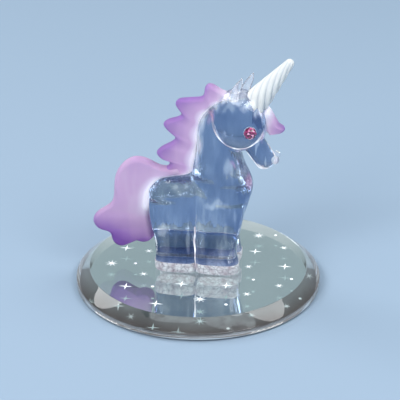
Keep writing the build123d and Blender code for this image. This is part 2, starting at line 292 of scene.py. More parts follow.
# %% [markdown]
# ## Head and muzzle
#
# The head is a ball that was flattened between paddles. The muzzle is a short drawn stub with a mouth
# line pressed into it. A place on it is told by a share and an angle, so that one formula serves its
# skin and, later, the fine threads on it.


# %% Head and muzzle skins
def ball_skin(centre, half_sizes, sides=SIDES):
    """A ball by latitude and turn, stretched by three half sizes."""
    latitude = np.linspace(-np.pi / 2, np.pi / 2, sides // 2 + 1)[1:-1][:, None]
    around = full_turn(sides)
    unit = grid(np.cos(latitude) * np.cos(around), np.cos(latitude) * np.sin(around), np.sin(latitude))
    return skin(centre + unit * half_sizes)


head_low, head_size = box_of("head")
# The ball is a little short in front, where the forelock's root stands before it.
HEAD_SHARES = np.array([0.93, 1.015, 1])
head_half = np.array([head_size[0], head_size[1], head_size[0]]) / 2 * HEAD_SHARES
head_centre = head_low + [head_half[0], head_size[1] / 2, head_size[2] - head_half[2]]
head = ball_skin(head_centre, head_half)

MUZZLE_TIP_RADIUS = 3.15 * MM
MUZZLE_ROOT_RADIUS = 3.9 * MM
muzzle_low, muzzle_size = box_of("muzzle")
tip_centre = muzzle_low + [muzzle_size[0] - MUZZLE_TIP_RADIUS, muzzle_size[1] / 2, MUZZLE_TIP_RADIUS]
run = np.linalg.norm(tip_centre - head_centre)
axis = (tip_centre - head_centre) / run
side_axis = np.array([0.0, 1.0, 0.0])
up_axis = np.cross(axis, side_axis)


def muzzle_place(share, angle, squeeze=1.0):
    """Points on the muzzle and their outward directions.

    A share up to 1 runs along the cone, and one from 1 to 2 over the round tip.
    """
    cap = np.clip(share - 1, 0, 1) * np.pi / 2
    along = np.minimum(share, 1)
    radius = MUZZLE_ROOT_RADIUS + (MUZZLE_TIP_RADIUS - MUZZLE_ROOT_RADIUS) * along
    radial = side_axis * np.cos(angle)[..., None] + up_axis * np.sin(angle)[..., None]
    middle = head_centre + axis * (along * run + MUZZLE_TIP_RADIUS * np.sin(cap))[..., None]
    outward = radial * np.cos(cap)[..., None] + axis * np.sin(cap)[..., None]
    return middle + radial * (radius * np.cos(cap) * squeeze)[..., None], outward


# The mouth is a dent at one angle, in degrees up from the left side, which deepens towards the tip.
MOUTH_DEPTH = 0.09
MOUTH_ANGLE = -68
MOUTH_SPREAD = 9
share = np.concatenate([np.linspace(0.3, 1, 40), np.linspace(1, 2, 25)[1:-1]])[:, None]
angle = np.degrees(np.arctan2(np.sin(turns), np.cos(turns)))
dent = np.exp(-(((angle - MOUTH_ANGLE) / MOUTH_SPREAD) ** 2)) * np.clip((share - 0.7) / 0.2, 0, 1)
muzzle = skin(muzzle_place(share, turns, 1 - MOUTH_DEPTH * dent)[0])
print("Muzzle length in mm:", round((run + MUZZLE_TIP_RADIUS) / MM, 1))

# %% [markdown]
# ## Melt the gathers together
#
# Real gathers have no wall between them, and a wall left inside glass would show as a bright line. So
# the skins become one mesh, and a voxel remesh keeps only the outside. Relaxing the result rounds the
# welds, as the torch does.

# %% One clear body
VOXEL = 0.3 * MM
RELAX_ROUNDS = 22
clear_body = make_piece("clear_body", [*legs, barrel, neck, head, muzzle], [
    "body", "front_left_leg", "front_right_leg", "rear_left_leg", "rear_right_leg", "neck", "head", "muzzle",
])
melt = clear_body.modifiers.new("melt", "REMESH")
melt.mode = "VOXEL"
melt.voxel_size = VOXEL
melt.use_smooth_shade = True
relax = clear_body.modifiers.new("relax", "SMOOTH")
relax.factor = 0.5
relax.iterations = RELAX_ROUNDS

# %% [markdown]
# ## Hoof cups
#
# Each hoof stands in a low cup of pale cement, full of small bubbles and cracks. It was squeezed up
# round the glass when the figurine was set on the mirror, and its foot is rounded. A cup is one profile
# carried round the hoof's section: down the inner wall, over the brim, down the outer wall and under
# the foot.

# %% Hoof cups
# Each row is a height above the mirror and an offset from the hoof's section, in millimetres.
cup_rows = np.array([
    (0.15, -0.6), (1.2, -0.4), (2.8, -0.28), (3.3, -0.2), (3.5, -0.08), (3.48, 0.06), (3.35, 0.13),
    (2.6, 0.15), (1.7, 0.14), (0.95, 0.08), (0.48, -0.08), (0.2, -0.32), (0.04, -0.65), (0, -1.0),
]) * MM
CUP_HEIGHT = 3.3 * MM
ground = box_of("hoof_cement")[0][2]


def cup_skin(node, rows):
    """The hoof's section at the cup's height, grown by the offset at each row."""
    low, size = box_of(node)
    level = np.clip((ground + CUP_HEIGHT - low[2]) / size[2], 0, 1)
    reach, width = smooth_rows(rows[:, 0], rows[:, 1:], [level])[0]
    return upright_skin(node, reach, width, ground + cup_rows[:, 0], cup_rows[:, 1:])


# The inner wall is marked, because it is in shade under the glass, deepest just below the brim.
INNER_WALL_SHADE = (0.35, 0.4, 0.7, 1)
shade = np.zeros((len(cup_rows), SIDES))
shade[:len(INNER_WALL_SHADE)] = np.array(INNER_WALL_SHADE)[:, None]
hoof_cups = make_piece(
    "hoof_cups", [cup_skin(node, rows) for node, rows in LEGS.items()], ["hoof_cement"],
    {"inner": np.tile(with_ends(shade), len(LEGS))},
)

# %% [markdown]
# ## Fine seams
#
# Where the hot ball of the head was pressed onto the neck, its skin folded into a thin raised thread
# along each jaw. The tongs that drew the muzzle left threads on its bridge, its lower edges and the
# corners of the mouth, and one more stands in each groove between two legs. They catch the light, and a
# painted glow makes them read as fine bright lines. Each is a thin tube round a line of points worked
# out on its own surface.


# %% Thread helper
def thread_skin(line, outward, radius):
    """A thin tube round a line. At each point a circle turns between the outward and the side direction."""
    along = np.gradient(line, axis=0)
    along /= np.linalg.norm(along, axis=1)[:, None]
    outward = outward - (outward * along).sum(axis=1)[:, None] * along
    outward /= np.linalg.norm(outward, axis=1)[:, None]
    across = np.cross(along, outward)
    around = full_turn(16)[..., None]
    circle = np.cos(around) * outward[:, None] + np.sin(around) * across[:, None]
    return skin(line[:, None] + radius[:, None, None] * circle)


# %% Fine seams
# Each row is x and z on the head as shares of the ball's half sizes, and a factor for the radius.
jaw_rows = np.array([
    (-0.83, 0.22, 0.3), (-0.8, 0.0, 1.3), (-0.71, -0.25, 1.7), (-0.54, -0.5, 1.3), (-0.3, -0.7, 0.8),
    (0.0, -0.79, 0.9), (0.3, -0.76, 0.7), (0.55, -0.62, 1.1), (0.76, -0.4, 1.2), (0.85, -0.2, 0.3),
])
# Each row is a share and an angle where a thread on the muzzle starts, and where it ends.
muzzle_rows = [
    (0.74, 90, 1.6, 90), (0.68, 242, 1.95, 236), (0.68, -62, 1.95, -56), (0.98, 222, 1.7, 196),
    (0.98, -42, 1.7, -16),
]
JAW_RADIUS = 0.23 * MM
MUZZLE_SEAM_RADIUS = 0.24 * MM
LEG_SEAM_RADIUS = 0.3 * MM
LIFT = 1.004


def jaw_seam(side):
    """A thread just above the ball. Its third coordinate follows from the ball's equation."""
    x, z, thick = smooth_rows(np.linspace(0, 1, len(jaw_rows)), jaw_rows, np.linspace(0, 1, 120)).T
    place = grid(x, side * np.sqrt(np.clip(1 - x**2 - z**2, 0.02, 1)), z)
    return thread_skin(head_centre + place * head_half * LIFT, place / head_half, JAW_RADIUS * thick)


def muzzle_seam(share_from, angle_from, share_to, angle_to):
    """A thread between two places of the muzzle, thickest in its middle."""
    t = np.linspace(0, 1, 80)
    angle = np.radians(angle_from + (angle_to - angle_from) * t)
    place, outward = muzzle_place(share_from + (share_to - share_from) * t, angle)
    return thread_skin(place, outward, MUZZLE_SEAM_RADIUS * (0.25 + 0.75 * np.sin(np.pi * t)))


def leg_seam(side):
    """An upright thread in the groove between two legs. It wanders by two slow sines."""
    low, size = box_of(f"front_{side}_leg")
    t = np.linspace(0, 1, 100)
    face, inwards = (low[1], 1) if side == "right" else (low[1] + size[1], -1)
    line = grid(
        (0.12 * np.sin(7 * t) + 0.08 * np.sin(17 * t)) * MM,
        face + inwards * (0.75 + 0.25 * t) * MM,
        low[2] + size[2] * (0.1 + 0.88 * t),
    )
    outward = np.broadcast_to([0.0, -inwards, 0.0], line.shape)
    return thread_skin(line, outward, LEG_SEAM_RADIUS * (0.35 + 0.65 * np.sin(np.pi * np.sqrt(1 - 0.9 * t))))


seams = [jaw_seam(-1), jaw_seam(1), leg_seam("right"), leg_seam("left")]
seams += [muzzle_seam(*row) for row in muzzle_rows]
fine_seams = make_piece("fine_seams", seams, [])

# %% [markdown]
# ## Nostrils and ears
#
# Two beads are set on the muzzle. The ears are small pulled points, like claws, and the right one sits
# a little behind the left one. An ear is a column of ovals that leans forward as it gets thinner.

# %% Beads and ears
ear_rows = [
    (-0.12, 0.02, 0.72, 1, 2), (0, 0, 0.74, 1, 2), (0.25, 0.06, 0.8, 0.97, 2), (0.5, 0.26, 0.9, 0.85, 2),
    (0.72, 0.52, 1, 0.62, 2), (0.9, 0.77, 1, 0.34, 2), (0.975, 0.88, 0.99, 0.16, 2), (1, 0.93, 0.97, 0.06, 2),
]
thin_pieces = []
for side in BOTH:
    low, size = box_of(f"{side}_nostril")
    radius = size[1] / 2
    bead = ball_skin(low + [size[0] - radius, radius, size[2] / 2], np.full(3, radius), 48)
    thin_pieces.append(make_piece(f"{side}_bead", [bead], [f"{side}_nostril"]))
for side in BOTH:
    ear = skin(column(f"{side}_ear", ear_rows, 40, full_turn(40)))
    thin_pieces.append(make_piece(f"{side}_ear_point", [ear], [f"{side}_ear"]))

# %% [markdown]
# ## Horn
#
# The horn is a drawn cane with eight round flutes, twisted while it was hot. Between two flutes the
# glass meets in a sharp valley. The absolute value of a cosine has just this outline: a round hump and
# a sharp dip, once for each flute. The dips are deeper on one side, as on a hand-made horn.

# %% Horn skin
FLUTES = 8
FLUTE_DEPTH = 0.25
FLUTE_POWER = 0.7
TWIST = math.radians(-212.0)
HORN_LEAN = math.radians(37.6)
HORN_LENGTH = 17.6 * MM
HORN_ROOT_RADIUS = 4.2 * MM
HORN_TIP_RADIUS = 1.15 * MM
# The root sits this share of the way into the head's ball.
ROOT_SINK = 0.015
# The tip's end lies this far back and down from the upper front of the horn's box, in tip radii.
TIP_OFFSET = np.array([0.62, 0, 0.3])
horn_line = np.array([math.sin(HORN_LEAN), 0, math.cos(HORN_LEAN)])
horn_cross = np.array([math.cos(HORN_LEAN), 0, -math.sin(HORN_LEAN)])
low, size = box_of("horn")
horn_root = low + size * [1, 0.5, 1] - TIP_OFFSET * HORN_TIP_RADIUS - horn_line * HORN_LENGTH
around = full_turn(256)


def fluted(share):
    """Points at some shares of the horn's length, and how near each is to the ridge of its flute.

    The radius falls along the horn to a round cap, and its flutes turn with the height.
    """
    radius = HORN_ROOT_RADIUS + (HORN_TIP_RADIUS - HORN_ROOT_RADIUS) * share
    cap = np.clip(((share - 1) * HORN_LENGTH + HORN_TIP_RADIUS) / HORN_TIP_RADIUS, 0, 0.999)
    ridge = np.abs(np.cos(FLUTES / 2 * (around - TWIST * share))) ** FLUTE_POWER
    uneven = 0.72 + 0.36 * np.cos(around) + 0.12 * np.sin(3 * around + 7 * share)
    radius = radius * np.sqrt(1 - cap**2) * (1 - FLUTE_DEPTH * uneven * (1 - ridge) * (1 - 0.4 * share))
    across = horn_cross * np.cos(around)[..., None] + side_axis * np.sin(around)[..., None]
    return horn_root + horn_line * (share * HORN_LENGTH)[..., None] + across * radius[..., None], ridge


def out_of_head(points):
    """The distance from the head's middle: 1 is on the ball, and less is inside it."""
    return np.linalg.norm((points - head_centre) / head_half, axis=-1)


# Each line of points starts where it leaves the ball, and a fan of rings on the ball closes the root.
trial = np.linspace(-0.1, 0.5, 300)[:, None] * np.ones_like(around)
outside = out_of_head(fluted(trial)[0]) > 1 - ROOT_SINK
start = trial[np.argmax(outside, axis=0), np.arange(around.size)][None, :]
share = start + (1 - start) * np.linspace(0, 1, 160)[:, None]
points, ridge = fluted(share)
middle = points[0].mean(axis=0)
closing = np.linspace(0.1, 0.9, 6)[:, None, None]
base = middle + (points[0] - middle)[None] * closing - head_centre
base = head_centre + base * (1 - ROOT_SINK) / out_of_head(base + head_centre)[..., None]
ridge = np.vstack([np.repeat(ridge[:1], len(closing), axis=0), ridge])
cane = skin(np.vstack([base, points]))
horn = make_piece("fluted_horn", [cane], ["horn"], {"ridge": with_ends(ridge)})

# %% [markdown]
# ## Slabs for the locks
#
# Mane, tail and forelock are flat slabs of glass, cut into locks while they were soft and combed with a
# tool. Each has two edges: the inner one is welded to the animal, the outer one runs round the tips. A
# row of points crosses from edge to edge on one face and comes back on the other. The thickness falls
# to nothing over a rounded rim, and the comb leaves soft ripples.

# %% Slab helpers
# The slab's two ends start this share of a rim's size in, so that they keep some thickness.
END_SHARE = 0.2


def slab(node, shares, rows, columns, rim, ripple, ripple_depth):
    """Rings of a slab, how far each point lies from the inner edge, and how far along the slab it is.

    A row of shares is a point of the outer edge and its partner on the inner edge. Row by row, a point
    goes out and back between the two by a cosine. Its distance from the nearer edge, over the rim's
    size, gives the thickness as a quarter circle.
    """
    low, size = box_of(node)
    low, size, middle, half = low[[0, 2]], size[[0, 2]], low[1] + size[1] / 2, size[1] / 2
    shares = np.array(shares)
    steps = np.linalg.norm(np.diff(shares[:, :2] * size, axis=0), axis=1)
    keys = np.concatenate([[0], np.cumsum(steps)]) / steps.sum()
    along = np.linspace(0, 1, rows)
    edges = smooth_rows(keys, shares, along)
    outer, inner = low + edges[:, :2] * size, low + edges[:, 2:] * size
    around = full_turn(columns)
    out = (1 - np.cos(around)) / 2
    edge = np.minimum(out, 1 - out) * np.linalg.norm(outer - inner, axis=1)[:, None]
    end = np.minimum(along, 1 - along)[:, None] * steps.sum()
    near = np.clip(np.minimum(edge, end + rim * END_SHARE) / rim, 0, 1)
    profile = np.sqrt(1 - (1 - near) ** 2)
    combed = (1 + ripple_depth * ripple(out, along[:, None])) / (1 + ripple_depth)
    y = middle + np.sign(np.sin(around)) * half * profile * combed
    flat = inner[:, None, :] + (outer - inner)[:, None, :] * out[..., None]
    rings = grid(flat[..., 0], y, flat[..., 1])
    return rings, np.broadcast_to(out, edge.shape), np.broadcast_to(along[:, None], edge.shape)


def lock(node, rings, tint, weld):
    """A frosted lock that carries the depth of its tint and its nearness to the weld, where it is whiter and
    has a painted glow.
    """
    marks = {"tint": with_ends(tint), "weld": with_ends(weld)}
    return make_piece(f"frosted_{node}", [skin(rings)], [node], marks)


# %% [markdown]
# ## Mane
#
# Four tips sweep back from the neck. The rows run from between the ears down to the back, and give x
# and z of a point on the outer edge, then of its partner on the weld, as shares of the CAD mane's box.

# %% Mane
mane_rows = [
    (1.02, 0.914, 1.016, 0.848), (0.861, 0.95, 0.901, 0.811), (0.768, 0.99, 0.839, 0.791),
    (0.719, 1, 0.803, 0.781), (0.679, 0.987, 0.781, 0.774), (0.657, 0.957, 0.759, 0.764),
    (0.634, 0.877, 0.723, 0.741), (0.51, 0.848, 0.692, 0.715), (0.377, 0.834, 0.661, 0.685),
    (0.297, 0.818, 0.643, 0.658), (0.266, 0.781, 0.63, 0.632), (0.288, 0.741, 0.617, 0.608),
    (0.342, 0.668, 0.603, 0.575), (0.253, 0.622, 0.594, 0.535), (0.146, 0.592, 0.59, 0.489),
    (0.102, 0.558, 0.586, 0.455), (0.129, 0.512, 0.581, 0.416), (0.257, 0.409, 0.568, 0.349),
    (0.155, 0.339, 0.555, 0.289), (0.035, 0.279, 0.541, 0.23), (0.004, 0.24, 0.528, 0.19),
    (0.035, 0.2, 0.519, 0.156), (0.111, 0.176, 0.51, 0.123), (0.173, 0.153, 0.501, 0.09),
    (0.177, 0.127, 0.484, 0.057), (0.138, 0.09, 0.421, 0.024), (0.031, 0.057, 0.253, 0.004),
]


def mane_ripple(out, along):
    """Soft comb lines that fan out from the weld, stronger towards the tips."""
    return 0.5 * np.sin(2 * np.pi * (9 * along + 0.4 * out)) * np.clip(out * 1.4, 0, 1) - 0.5 * out


rings, out, along = slab("mane", mane_rows, 420, 96, 1.5 * MM, mane_ripple, 0.1)
# The violet tint is deepest at the tips, and fades where the mane runs in between the ears.
tint = (0.22 + 0.5 * out**2.5) * np.clip(along / 0.16, 0, 1)
weld = np.maximum(0.9 * np.clip(1.2 - out / 0.26, 0, 1), 0.55 * np.clip(1.1 - along / 0.1, 0, 1))
mane = lock("mane", rings, tint, weld)

# %% [markdown]
# ## Tail
#
# The tail swings up from the rump and hangs down to three lobes. Its first rows are hidden in the mane,
# so the two locks melt into each other. The violet gathers in the lobes, so the tint follows the height.

# %% Tail
tail_rows = [
    (1.091, 0.938, 1.152, 0.842), (0.954, 0.915, 1.051, 0.823), (0.861, 0.918, 0.97, 0.803),
    (0.735, 0.964, 0.889, 0.776), (0.638, 0.994, 0.832, 0.744), (0.549, 0.997, 0.8, 0.711),
    (0.448, 0.961, 0.776, 0.671), (0.36, 0.885, 0.752, 0.625), (0.303, 0.79, 0.731, 0.572),
    (0.283, 0.678, 0.719, 0.513), (0.275, 0.576, 0.715, 0.461), (0.242, 0.487, 0.719, 0.421),
    (0.154, 0.421, 0.723, 0.388), (0.057, 0.362, 0.727, 0.355), (0.004, 0.289, 0.735, 0.322),
    (0.016, 0.23, 0.739, 0.296), (0.081, 0.181, 0.743, 0.27), (0.174, 0.161, 0.747, 0.25),
    (0.214, 0.135, 0.752, 0.233), (0.234, 0.079, 0.756, 0.217), (0.279, 0.019, 0.76, 0.2),
    (0.347, 0.003, 0.764, 0.184), (0.412, 0.039, 0.768, 0.171), (0.501, 0.085, 0.772, 0.158),
    (0.59, 0.066, 0.776, 0.148), (0.679, 0.072, 0.78, 0.141), (0.752, 0.115, 0.784, 0.164),
]


def tail_ripple(out, along):
    """Comb lines that run down to the lobes, and shallow valleys between two lobes."""
    lobes = np.cos(2 * np.pi * (along - 0.61) / 0.16) * np.clip((along - 0.5) / 0.1, 0, 1)
    return 0.5 * lobes * np.clip(out * 1.3, 0, 1) + 0.2 * np.sin(2 * np.pi * 5 * along) * out - 0.3 * out


rings, out, _ = slab("tail", tail_rows, 420, 96, 1.6 * MM, tail_ripple, 0.14)
low, size = box_of("tail")
height = (rings[..., 2] - low[2]) / size[2]
tint = 0.12 + 0.15 * out**3 + 0.9 * np.clip((0.42 - height) / 0.34, 0, 1) * (0.45 + 0.55 * out)
weld = np.clip(1.25 - out / 0.26, 0, 1) * np.clip((height - 0.36) / 0.12, 0, 1)
tail = lock("tail", rings, tint, weld)

# %% [markdown]
# ## Forelock
#
# One short lock hangs in front of the horn, and its tip points forward. The tint fades from the tip, at
# the lower front corner, to white at the horn, so it follows the distance to that corner.

# %% Forelock
forelock_rows = [
    (0.05, 1.1, -0.35, 0.9), (0.2, 0.98, -0.3, 0.8), (0.42, 0.72, -0.25, 0.62), (0.6, 0.5, -0.2, 0.48),
    (0.74, 0.36, -0.15, 0.38), (0.88, 0.31, -0.1, 0.3), (0.98, 0.26, -0.08, 0.24), (1.0, 0.19, -0.05, 0.18),
    (0.93, 0.13, -0.03, 0.13), (0.75, 0.09, 0, 0.09), (0.5, 0.06, 0.05, 0.06), (0.2, 0.02, 0.08, 0.03),
]


def forelock_ripple(out, along):
    """Two soft comb lines."""
    return 0.5 * np.sin(2 * np.pi * 2.5 * along) * out - 0.4 * out


rings, _, _ = slab("forelock", forelock_rows, 160, 80, 1.2 * MM, forelock_ripple, 0.12)
low, size = box_of("forelock")
from_tip = np.linalg.norm(rings - low - size * [1, 0.5, 0.22], axis=-1) / size[2]
tint = 0.85 * np.clip(1 - from_tip / 0.85, 0, 1) ** 1.2
forelock = lock("forelock", rings, tint, 0.75 * np.clip((from_tip - 0.6) / 0.4, 0, 1))

# %% [markdown]
# ## Mirror glass
#
# The blank is one turned shape: a flat, a ground bevel and a thin upright edge. Its two arrises are
# rubbed off a little with a stone, which is what makes them glint. The glass reaches just below the top
# of the silver, so that no layer of air is left between the two.

# %% Turned blank
BEVEL_WIDTH = 4.2 * MM
BEVEL_DEPTH = 3.1 * MM
ARRIS = 0.12 * MM
SILVER_SINK = 0.03 * MM
low, size = box_of("mirror_glass")
base_radius = min(-low[0], low[0] + size[0])
base_top = low[2] + size[2]


def rounded_corner(before, corner, after):
    """Points of a quadratic curve that leaves the corner's one side and joins the other."""
    start = corner + (before - corner) / np.linalg.norm(before - corner) * ARRIS
    end = corner + (after - corner) / np.linalg.norm(after - corner) * ARRIS
    t = np.linspace(0, 1, 5)[:, None]
    return (1 - t) ** 2 * start + 2 * t * (1 - t) * corner + t**2 * end


# The profile is a list of points by radius and height, from the middle of the underside to the top.
under, foot, edge, brow, middle = np.array([
    (0.5 * base_radius, low[2] - SILVER_SINK), (base_radius, low[2] - SILVER_SINK),
    (base_radius, base_top - BEVEL_DEPTH), (base_radius - BEVEL_WIDTH, base_top),
    (0.5 * base_radius, base_top),
])
corners = rounded_corner(foot, edge, brow), rounded_corner(edge, brow, middle)
profile = np.vstack([under, foot, *corners, middle])
around = full_turn(256)
radius, height = profile[:, 0, None], profile[:, 1, None]
bevel = np.clip((base_top - height) / (0.1 * BEVEL_DEPTH), 0, 1) * np.ones_like(around)
turned = skin(grid(radius * np.cos(around), radius * np.sin(around), height))
blank = make_piece("bevelled_blank", [turned], ["mirror_glass"], {"bevel": with_ends(bevel)})

# %% [markdown]
# ## Eyes
#
# A flat-back stone has a small table, a ring of star facets and a ring of main facets, and a foiled
# back. Its facets must stay flat, so only this glass isn't shaded smooth. Each facet gets a painted
# brightness of its own, which stands for the foil behind it returning the light or not.

# %% Cut stones
STONE_SIDES = 8
# Each layer from the back to the table is a height, a reach and a turn by a share of one facet.
STONE_LAYERS = ((0, 1, 0), (0.3, 1, 0), (0.68, 0.82, 0.5), (1, 0.55, 0))
# Painted highlights: the brightness of each facet of the table, the stars, the mains, the girdle and the
# back.
TABLE_LIGHT = (0.95, 0.1, 0.5, 0.2, 0.9, 0.05, 0.6, 0.15)
STAR_LIGHT = (0.3, 0.85, 0.15, 0.6, 0.25, 0.95, 0.1, 0.5)
MAIN_LIGHT = (0.7, 0.25, 0.9, 0.4, 0.55, 0.2, 0.8, 0.35)
GIRDLE_LIGHT = 0.3
BACK_LIGHT = 0.5


def node_points(node):
    """The points of a CAD node, in metres."""
    return np.array([vertex.co for vertex in cad[node].data.vertices])


def stone_piece(side):
    """A table cut in eight, star facets, main facets and a girdle, as flat faces between turned rings."""
    crystal = node_points(f"{side}_eye_crystal")
    centre = node_points(f"{side}_eye_foil").mean(axis=0)
    out = crystal.mean(axis=0) - centre
    out /= np.linalg.norm(out)
    level = np.cross(out, [0, 0, 1.0])
    level /= np.linalg.norm(level)
    rise = np.cross(level, out)
    heights = (crystal - centre) @ out
    radius = np.linalg.norm(crystal - centre - np.outer(heights, out), axis=1).max()
    n = STONE_SIDES
    points = []
    for height, reach, shift in STONE_LAYERS:
        turn = 2 * np.pi * (np.arange(n) + shift) / n
        ring = np.outer(np.cos(turn), level) + np.outer(np.sin(turn), rise)
        points.append(centre + out * height * heights.max() + radius * reach * ring)
    points.append(centre + out * heights.max())
    faces, light = [list(range(n))[::-1]], [BACK_LIGHT]
    for i in range(n):
        k = (i + 1) % n
        faces += [
            [i, k, n + k, n + i], [n + i, n + k, 2 * n + i], [2 * n + i, n + k, 2 * n + k],
            [2 * n + i, 2 * n + k, 3 * n + k], [3 * n + i, 2 * n + i, 3 * n + k],
            [3 * n + i, 3 * n + k, 4 * n],
        ]
        light += [GIRDLE_LIGHT, MAIN_LIGHT[i], MAIN_LIGHT[i - 3]]
        light += [STAR_LIGHT[i - 5], STAR_LIGHT[i], TABLE_LIGHT[i]]
    cut = (np.vstack(points), faces)
    node = f"{side}_eye_crystal"
    return make_piece(f"{side}_stone", [cut], [node], facet_marks={"painted_sparkle": light})


stones = [stone_piece(side) for side in BOTH]

# %% [markdown]
# ## Materials
#
# Every material is a tree of nodes that ends in the Principled shader. The class below holds one tree,
# and its methods add the few kinds of nodes that all finishes need. A constant is set right on its
# socket, and only what varies over the surface gets a node.


# %% Node helpers
class Nodes:
    """The node tree of a material, a world or a group, with short ways to add to it."""

    def __init__(self, owner):
        self.owner = owner
        self.tree = getattr(owner, "node_tree", owner)

    def join(self, value, socket):
        """Lead another node's output into a socket, or set the socket to a plain value."""
        if isinstance(value, bpy.types.NodeSocket):
            self.tree.links.new(value, socket)
        else:
            socket.default_value = value

    def add(self, kind, links=None, **settings):
        """A new node. `settings` sets its properties, and `links` maps an input to a value or a socket."""
        node = self.tree.nodes.new(kind)
        for key, value in settings.items():
            setattr(node, key, value)
        for key, value in (links or {}).items():
            self.join(value, node.inputs[key])
        return node

    def math(self, operation, first, second):
        """The result of one Math node."""
        return self.add("ShaderNodeMath", {0: first, 1: second}, operation=operation).outputs[0]

    def vector(self, operation, first, second):
        """The result of one Vector Math node."""
        return self.add("ShaderNodeVectorMath", {0: first, 1: second}, operation=operation).outputs[0]

    def swing(self, value, reach, middle=0.5):
        """How far a value is from its middle, times a reach."""
        return self.math("MULTIPLY", self.math("SUBTRACT", value, middle), reach)

    def fade(self, value, start, end, top=1.0, **settings):
        """0 where the value is at `start`, and `top` where it is at `end`."""
        links = {"Value": value, "From Min": start, "From Max": end, "To Max": top}
        return self.add("ShaderNodeMapRange", links, **settings).outputs["Result"]

    def mix(self, share, first, second):
        """The first colour, with a share of the second one over it."""
        return self.add("ShaderNodeMix", {0: share, 6: first, 7: second}, data_type="RGBA").outputs[2]

    def ramp(self, value, *stops):
        """A colour ramp. Each stop is a place, then red, green and blue."""
        node = self.add("ShaderNodeValToRGB", {"Fac": value})
        elements = node.color_ramp.elements
        while len(elements) < len(stops):
            elements.new(0.5)
        for element, (place, *colour) in zip(elements, stops):
            element.position = place
            element.color = (*colour, 1)
        return node.outputs["Color"]

    def noise(self, place, scale, detail, distortion=0.0):
        """The value of a noise texture."""
        links = {"Vector": place, "Scale": scale, "Detail": detail, "Distortion": distortion}
        return self.add("ShaderNodeTexNoise", links).outputs["Fac"]

    def place(self):
        """Object coordinates, which stay with the piece."""
        return self.add("ShaderNodeTexCoord").outputs["Object"]

    def part(self, vector, axis):
        """One coordinate of a vector."""
        return self.add("ShaderNodeSeparateXYZ", {"Vector": vector}).outputs[axis]

    def mark(self, name):
        """A named value of the mesh."""
        return self.add("ShaderNodeAttribute", attribute_name=name).outputs["Fac"]

    def geometry(self, name):
        """One output of the Geometry node."""
        return self.add("ShaderNodeNewGeometry").outputs[name]

    def use(self, shared, **values):
        """The outputs of one use of a shared group, with its own numbers."""
        return self.add("ShaderNodeGroup", values, node_tree=shared.owner).outputs

    def feed(self, **values):
        """Values or outputs for the shader's sockets, whose names have underscores for spaces here."""
        for key, value in values.items():
            self.join(value, self.tree.nodes["Principled BSDF"].inputs[key.replace("_", " ")])

    def bump(self, height, depth):
        """Relief from a height between 0 and 1, with the depth in metres."""
        relief = self.add("ShaderNodeBump", {"Height": height, "Distance": depth, "Strength": 1.0})
        self.feed(Normal=relief.outputs["Normal"])

    def dress(self, *pieces):
        """Put the material on some pieces."""
        for piece in pieces:
            piece.data.materials.clear()
            piece.data.materials.append(self.owner)
        print(self.owner.name, "with", len(self.tree.nodes), "nodes is on", [piece.name for piece in pieces])


def finish(name, **constants):
    """A new material with plain constants on its shader."""
    material = bpy.data.materials.new(name)
    material.use_nodes = True
    nodes = Nodes(material)
    nodes.feed(**constants)
    return nodes


# %% [markdown]
# ## Shared effects
#
# Three effects come back in several finishes, so each is a node group. Flow is the slow waviness of
# glass that was stretched while hot. Grain is the fine tooth of a frosted or painted surface, with
# larger clouds in it. Specks are small round spots, for the bubbles in cement.


# %% Shared node groups
def new_group(name, inputs, outputs):
    """A new group with plain number sockets, its inputs, its outputs and the place on the piece."""
    group = Nodes(bpy.data.node_groups.new(name, "ShaderNodeTree"))
    sockets = group.owner.interface
    for label, value in inputs.items():
        sockets.new_socket(label, in_out="INPUT", socket_type="NodeSocketFloat").default_value = value
    for label in outputs:
        sockets.new_socket(label, in_out="OUTPUT", socket_type="NodeSocketFloat")
    return group, group.add("NodeGroupInput").outputs, group.add("NodeGroupOutput").inputs, group.place()


# Flow: noise on coordinates that are squeezed along the height, so its streaks stand upright.
flow, given, gives, place = new_group("glass_flow", {"Size": 110.0, "Upright": 0.4}, ["Streak", "Wave"])
squeeze = flow.add("ShaderNodeCombineXYZ", {"X": 1.0, "Y": 1.0, "Z": given["Upright"]}).outputs[0]
drawn = flow.vector("MULTIPLY", place, squeeze)
flow.join(flow.fade(flow.noise(drawn, given["Size"], 1.5, 0.5), 0.36, 0.66), gives["Streak"])
swell = flow.noise(drawn, flow.math("MULTIPLY", given["Size"], 1.7), 1.0)
chop = flow.noise(drawn, flow.math("MULTIPLY", given["Size"], 5.0), 1.0)
wave = flow.math("ADD", flow.math("MULTIPLY", swell, 0.8), flow.math("MULTIPLY", chop, 0.2))
flow.join(wave, gives["Wave"])

# Grain: fine noise for the relief, and slow noise for the clouds.
grain, given, gives, place = new_group("fine_grain", {"Tooth": 4000.0, "Cloud": 150.0}, ["Tooth", "Cloud"])
grain.join(grain.noise(place, given["Tooth"], 3.0), gives["Tooth"])
grain.join(grain.fade(grain.noise(place, given["Cloud"], 3.0), 0.3, 0.7), gives["Cloud"])

# Specks: 1 inside a small ball round each cell's point, and 0 outside it.
specks, given, gives, place = new_group("small_specks", {"Size": 900.0, "Reach": 0.2}, ["Speck"])
cell = specks.add("ShaderNodeTexVoronoi", {"Vector": place, "Scale": given["Size"]}).outputs["Distance"]
full = specks.math("MULTIPLY", given["Reach"], 0.6)
specks.join(specks.fade(cell, given["Reach"], full), gives["Speck"])
print("Shared groups:", [group.name for group in bpy.data.node_groups])
